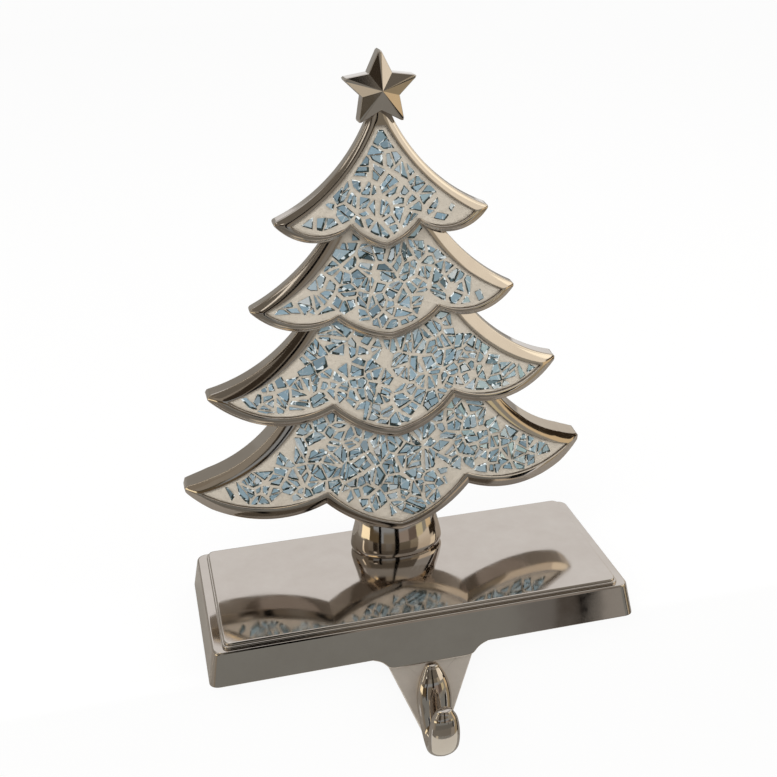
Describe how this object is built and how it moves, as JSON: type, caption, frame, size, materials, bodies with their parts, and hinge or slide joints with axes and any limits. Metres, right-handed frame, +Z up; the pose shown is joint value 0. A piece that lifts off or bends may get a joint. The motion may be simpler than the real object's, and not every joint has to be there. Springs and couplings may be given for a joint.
{
  "type": "mantel stocking holder",
  "caption": "Polished metal mantel weight with a tongue and upturned hook below its front edge, carrying a bowed tiered fir tree with a star and crushed-mirror panels.",
  "frame": {"origin": "centre of the block's footprint, on the plane of the pad that rests on the mantel", "axes": "+Z up the tree, +X to the object's own right as seen in the picture, -Y out of the front towards the hook"},
  "size_m": [0.15, 0.0837, 0.2312],
  "materials": {
    "polished_nickel": "mirror-polished nickel plate over cast zinc",
    "mirror_glass": "broken silvered glass, dark chipped edges",
    "grout": "matt off-white grout",
    "pad": "matt closed-cell foam rubber",
    "zinc_plated_steel": "bright zinc plate"
  },
  "bodies": {
    "root": {"base_casting": "polished_nickel", "tree_casting": "polished_nickel", "tier_1_grout": "grout", "tier_1_mirror_chips": "mirror_glass", "tier_2_grout": "grout", "tier_2_mirror_chips": "mirror_glass", "tier_3_grout": "grout", "tier_3_mirror_chips": "mirror_glass", "tier_4_grout": "grout", "tier_4_mirror_chips": "mirror_glass", "non_slip_pad": "pad", "fixing_screw": "zinc_plated_steel", "fixing_washer": "zinc_plated_steel"}
  },
  "joints": []
}
